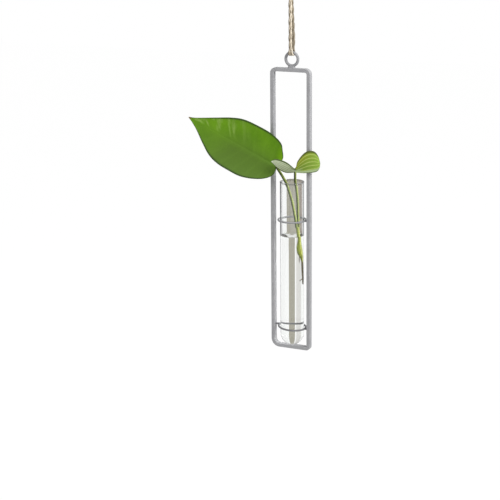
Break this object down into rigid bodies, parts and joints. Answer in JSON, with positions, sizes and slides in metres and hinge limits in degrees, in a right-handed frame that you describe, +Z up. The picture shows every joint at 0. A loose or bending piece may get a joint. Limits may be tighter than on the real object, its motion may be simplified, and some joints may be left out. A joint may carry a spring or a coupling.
{
  "type": "hanging propagation vase",
  "caption": "Tall flat-wire frame on a twine loop, holding a glass test tube of water with a rooting leaf cutting.",
  "frame": {"origin": "bearing point inside the top of the hanging loop, where a hook carries the vase", "axes": "+Z up along the tube, +X along the width of the wire frame, and -Y to the front"},
  "size_m": [0.1176, 0.0455, 0.3663],
  "materials": {
    "frame_paint": "matte",
    "clear_glass": "gloss",
    "water": "gloss",
    "jute": "matte",
    "leaf_green": "satin",
    "young_leaf": "satin",
    "stalk_green": "satin",
    "root_brown": "matte"
  },
  "bodies": {
    "loop": {"hanging_loop": "jute"},
    "knot": {"twine_knot": "jute"},
    "frame": {"hanging_twine": "jute", "frame_wire": "frame_paint", "hanging_eye": "frame_paint", "upper_tube_ring": "frame_paint", "lower_tube_ring": "frame_paint"},
    "tube": {"glass_tube": "clear_glass", "water": "water"},
    "cutting": {"large_leaf": "leaf_green", "large_leaf_petiole": "stalk_green", "small_leaf": "young_leaf", "small_leaf_petiole": "stalk_green", "stem": "stalk_green", "main_root": "root_brown", "side_roots": "root_brown"}
  },
  "joints": [
    {"name": "swing", "type": "hinge", "parent": "loop", "child": "knot", "pos_m": [0, 0, -0.031], "axis": [0, 1, 0], "range_deg": [-25, 25]},
    {"name": "twist", "type": "hinge", "parent": "knot", "child": "frame", "pos_m": [0, 0, -0.031], "axis": [0, 0, 1], "range_deg": [-180, 180], "stiffness_Nm_per_rad": 0.0004},
    {"name": "tube_lift", "type": "slide", "parent": "frame", "child": "tube", "axis": [0, 0, 1], "range_m": [0, 0.095]},
    {"name": "cutting_lift", "type": "slide", "parent": "tube", "child": "cutting", "axis": [0, -0.0576, 0.9983], "range_m": [0, 0.1], "deforming": ["water"]}
  ]
}
